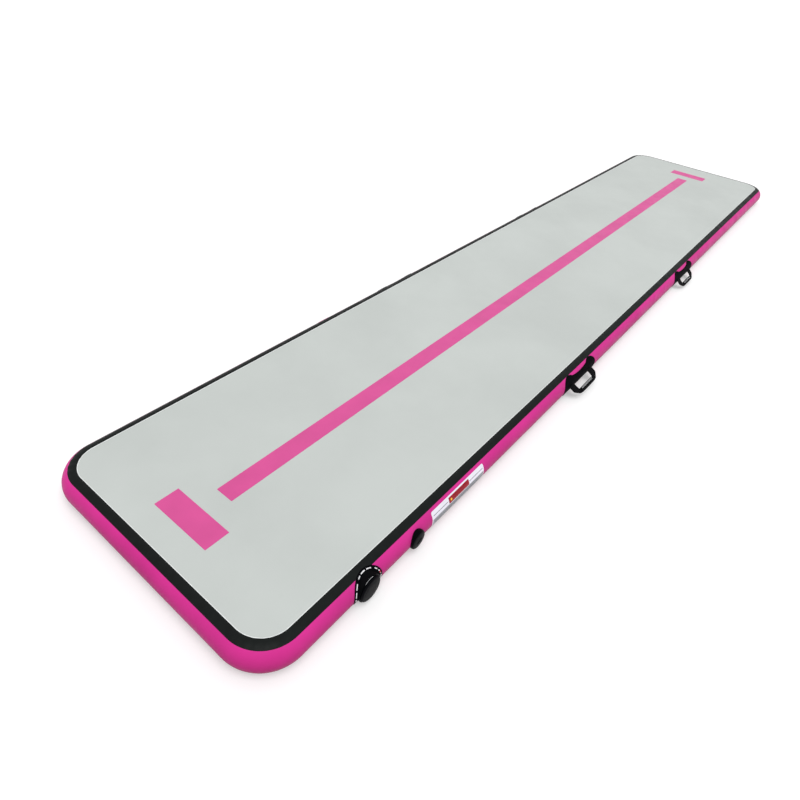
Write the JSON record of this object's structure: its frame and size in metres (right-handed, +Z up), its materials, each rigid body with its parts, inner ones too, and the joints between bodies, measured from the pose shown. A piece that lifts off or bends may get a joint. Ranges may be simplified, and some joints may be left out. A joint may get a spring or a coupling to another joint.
{
  "type": "air track mat",
  "caption": "Long flat inflatable tumbling mat with a taped seam, a bulged side wall, a capped pump valve, a relief valve and hinged carry handles.",
  "frame": {"origin": "on the floor, under the middle of the mat", "axes": "+X along the length, away from the end with the pump valve; +Z up; the valves and the label are on the -Y side"},
  "size_m": [5, 1.0871, 0.1005],
  "materials": {
    "pvc_grey": "matte",
    "pvc_pink": "satin",
    "ink_pink": "satin",
    "pvc_black": "satin",
    "base_cloth": "matte",
    "label_film": "satin",
    "label_red": "satin",
    "patch_black": "matte",
    "webbing_black": "matte",
    "plastic_black": "gloss",
    "rubber_black": "matte",
    "spring_steel": "polished"
  },
  "bodies": {
    "mat": {"top_sheet": "pvc_grey", "bottom_sheet": "pvc_grey", "side_wall": "pvc_pink", "top_seam_tape": "pvc_black", "bottom_seam_tape": "pvc_black", "inner_wall_band": "pvc_pink", "upper_base_cloth": "base_cloth", "lower_base_cloth": "base_cloth", "drop_stitch_yarns": "base_cloth", "centre_stripe": "ink_pink", "near_end_bar": "ink_pink", "far_end_bar": "ink_pink", "info_label": "label_film", "label_panel": "label_red", "wall_joint_patch": "pvc_pink", "valve_patch": "patch_black", "valve_saddle": "rubber_black", "valve_flange": "plastic_black", "valve_collar": "plastic_black", "valve_barrel": "plastic_black", "valve_seat": "rubber_black", "valve_back_washer": "rubber_black", "valve_back_nut": "plastic_black", "valve_stem_guide": "plastic_black", "valve_spring": "spring_steel", "relief_body": "plastic_black", "relief_back_nut": "plastic_black", "relief_stem_guide": "plastic_black", "relief_spring": "spring_steel", "handle_patch_front_near": "patch_black", "handle_patch_front_far": "patch_black", "handle_patch_back_near": "patch_black", "handle_patch_back_far": "patch_black"},
    "cap_seal": {"valve_cap_seal": "rubber_black"},
    "cap": {"valve_cap": "plastic_black"},
    "diaphragm": {"valve_diaphragm": "rubber_black"},
    "stem": {"valve_stem": "plastic_black"},
    "poppet": {"relief_poppet": "rubber_black"},
    "relief_cap": {"relief_cap": "plastic_black"},
    "handle_front_near": {"handle_strap_front_near": "webbing_black", "handle_grip_front_near": "webbing_black"},
    "handle_front_far": {"handle_strap_front_far": "webbing_black", "handle_grip_front_far": "webbing_black"},
    "handle_back_near": {"handle_strap_back_near": "webbing_black", "handle_grip_back_near": "webbing_black"},
    "handle_back_far": {"handle_strap_back_far": "webbing_black", "handle_grip_back_far": "webbing_black"}
  },
  "joints": [
    {"name": "cap_lift", "type": "slide", "parent": "mat", "child": "cap_seal", "axis": [0, -1, 0], "range_m": [0, 0.06]},
    {"name": "cap_turn", "type": "hinge", "parent": "cap_seal", "child": "cap", "pos_m": [-2.103, -0.51, 0.05], "axis": [0, -1, 0], "range_deg": [0, 90]},
    {"name": "valve_push", "type": "slide", "parent": "mat", "child": "diaphragm", "axis": [0, 1, 0], "range_m": [0, 0.005], "stiffness_N_per_m": 600, "springref_m": -0.002, "deforming": ["valve_spring"]},
    {"name": "valve_twist", "type": "hinge", "parent": "diaphragm", "child": "stem", "pos_m": [-2.103, -0.5, 0.05], "axis": [0, 1, 0], "range_deg": [0, 90]},
    {"name": "relief_open", "type": "slide", "parent": "mat", "child": "poppet", "axis": [0, -1, 0], "range_m": [0, 0.004], "stiffness_N_per_m": 800, "springref_m": -0.003, "deforming": ["relief_spring"]},
    {"name": "relief_cap_turn", "type": "hinge", "parent": "mat", "child": "relief_cap", "pos_m": [-1.878, -0.505, 0.05], "axis": [0, -1, 0], "range_deg": [0, 90]},
    {"name": "handle_swing_front_near", "type": "hinge", "parent": "mat", "child": "handle_front_near", "pos_m": [-0.735, -0.5045, 0.05], "axis": [-1, 0, 0], "range_deg": [-32, 108]},
    {"name": "handle_swing_front_far", "type": "hinge", "parent": "mat", "child": "handle_front_far", "pos_m": [0.6, -0.5045, 0.05], "axis": [-1, 0, 0], "range_deg": [-15, 125]},
    {"name": "handle_swing_back_near", "type": "hinge", "parent": "mat", "child": "handle_back_near", "pos_m": [-0.735, 0.5045, 0.05], "axis": [1, 0, 0], "range_deg": [-15, 125]},
    {"name": "handle_swing_back_far", "type": "hinge", "parent": "mat", "child": "handle_back_far", "pos_m": [0.6, 0.5045, 0.05], "axis": [1, 0, 0], "range_deg": [-15, 125]}
  ]
}
